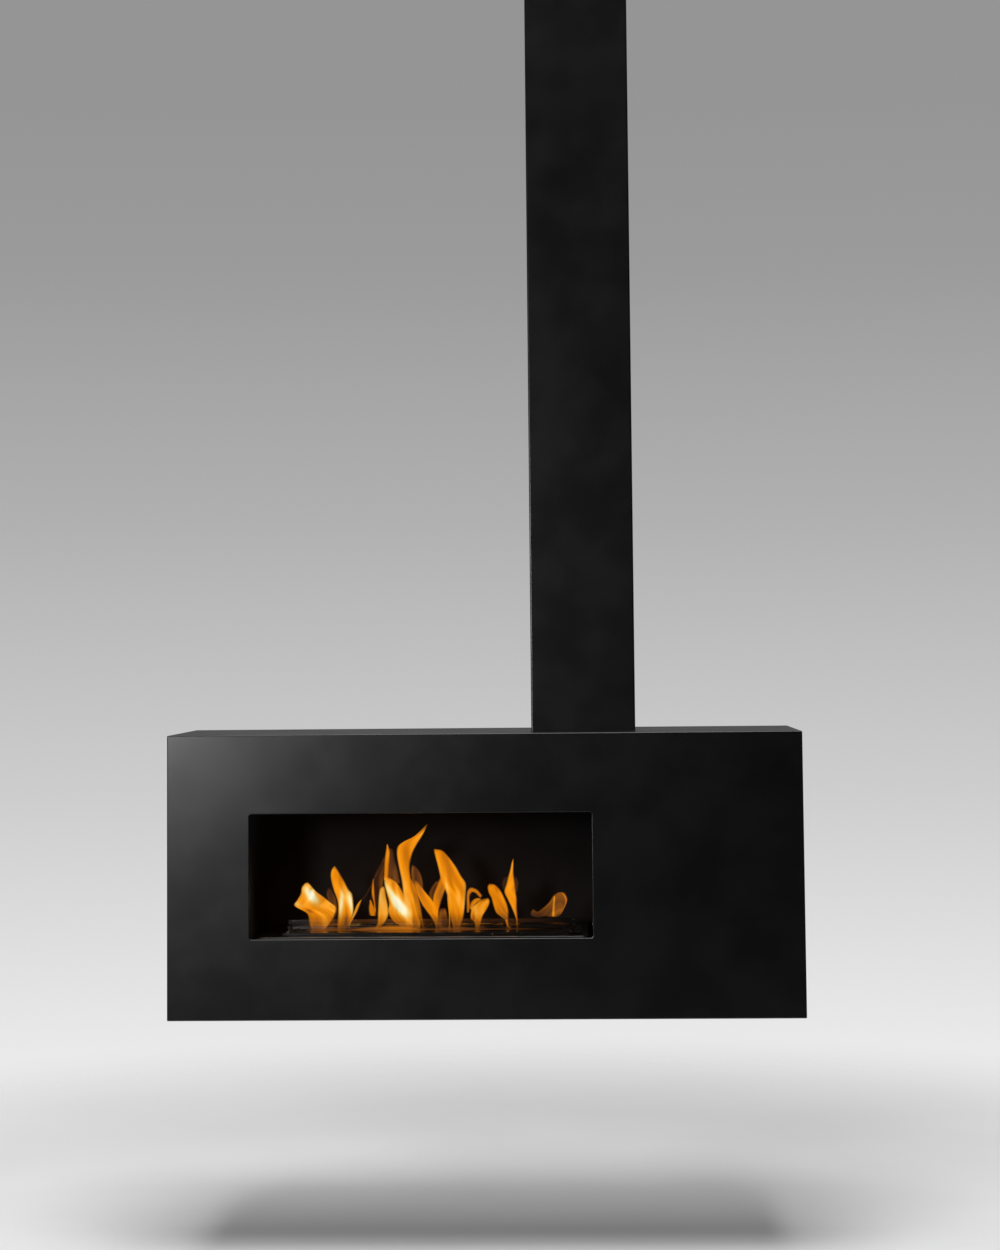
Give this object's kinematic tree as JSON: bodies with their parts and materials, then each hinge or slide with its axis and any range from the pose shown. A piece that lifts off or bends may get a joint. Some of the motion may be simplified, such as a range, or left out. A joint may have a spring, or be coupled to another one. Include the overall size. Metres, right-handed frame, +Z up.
{
  "type": "hanging fireplace",
  "caption": "Wide box-shaped bioethanol fireplace of folded black steel, hung from the ceiling by an off-centre square column, with a slot burner and sliding lid",
  "frame": {"origin": "middle of the ceiling plate's upper face, where the object meets the ceiling", "axes": "+Z up towards the ceiling, -Y the front with the fire opening, +X to the viewer's right"},
  "size_m": [1.2, 0.38, 2.034],
  "materials": {
    "powder_coated_steel": "satin black powder coat, fine texture",
    "heat_resistant_paint": "matt black heat-resistant paint",
    "galvanised_steel": "dull galvanised sheet and section",
    "zinc_plated_steel": "bright zinc-plated fasteners",
    "stainless_steel": "brushed stainless, heat-tinted near the slot",
    "ceramic_wool": "matt fibrous ceramic wool"
  },
  "bodies": {
    "root": {"casing_back_panel": "powder_coated_steel", "casing_rear_frame": "powder_coated_steel", "column_cover": "powder_coated_steel", "burner_deck": "heat_resistant_paint", "ceiling_plate": "galvanised_steel", "hanger_flange": "galvanised_steel", "column_back_panel": "powder_coated_steel", "casing_front": "powder_coated_steel", "casing_top": "powder_coated_steel", "burner_well": "stainless_steel", "support_channel_front": "galvanised_steel", "support_channel_rear": "galvanised_steel", "column_screw_1": "powder_coated_steel", "column_screw_2": "powder_coated_steel", "column_screw_3": "powder_coated_steel", "column_screw_4": "powder_coated_steel", "column_screw_5": "powder_coated_steel", "column_screw_6": "powder_coated_steel", "casing_screw_1": "powder_coated_steel", "casing_screw_2": "powder_coated_steel", "casing_screw_3": "powder_coated_steel", "casing_screw_4": "powder_coated_steel", "casing_screw_5": "powder_coated_steel", "casing_screw_6": "powder_coated_steel", "casing_screw_7": "powder_coated_steel", "casing_screw_8": "powder_coated_steel", "heat_shield": "galvanised_steel", "hanger_tube": "galvanised_steel", "firebox_floor": "heat_resistant_paint", "hanger_bolt_1": "zinc_plated_steel", "hanger_bolt_2": "zinc_plated_steel", "hanger_bolt_3": "zinc_plated_steel", "hanger_bolt_4": "zinc_plated_steel", "firebox_stand_front": "galvanised_steel", "firebox_stand_rear": "galvanised_steel", "firebox_left": "heat_resistant_paint", "firebox_right": "heat_resistant_paint", "firebox_roof": "heat_resistant_paint", "casing_bottom": "powder_coated_steel", "casing_left": "powder_coated_steel", "casing_right": "powder_coated_steel", "firebox_back": "heat_resistant_paint"},
    "burner": {"burner_screen": "stainless_steel", "burner_tank": "stainless_steel", "burner_top": "stainless_steel", "flame_guard": "stainless_steel", "lid_rail_left": "stainless_steel", "lid_rail_right": "stainless_steel", "rail_screw_1": "stainless_steel", "rail_screw_2": "stainless_steel", "rail_screw_3": "stainless_steel", "rail_screw_4": "stainless_steel", "guard_screw_1": "stainless_steel", "guard_screw_2": "stainless_steel", "guard_screw_3": "stainless_steel", "guard_screw_4": "stainless_steel", "guard_screw_5": "stainless_steel", "burner_wick": "ceramic_wool"},
    "lid": {"burner_lid": "stainless_steel"}
  },
  "joints": [
    {"name": "burner_lift", "type": "slide", "parent": "root", "child": "burner", "axis": [0, 0, 1], "range_m": [0, 0.065]},
    {"name": "lid_slide", "type": "slide", "parent": "burner", "child": "lid", "axis": [0, 1, 0], "range_m": [0, 0.051]}
  ]
}
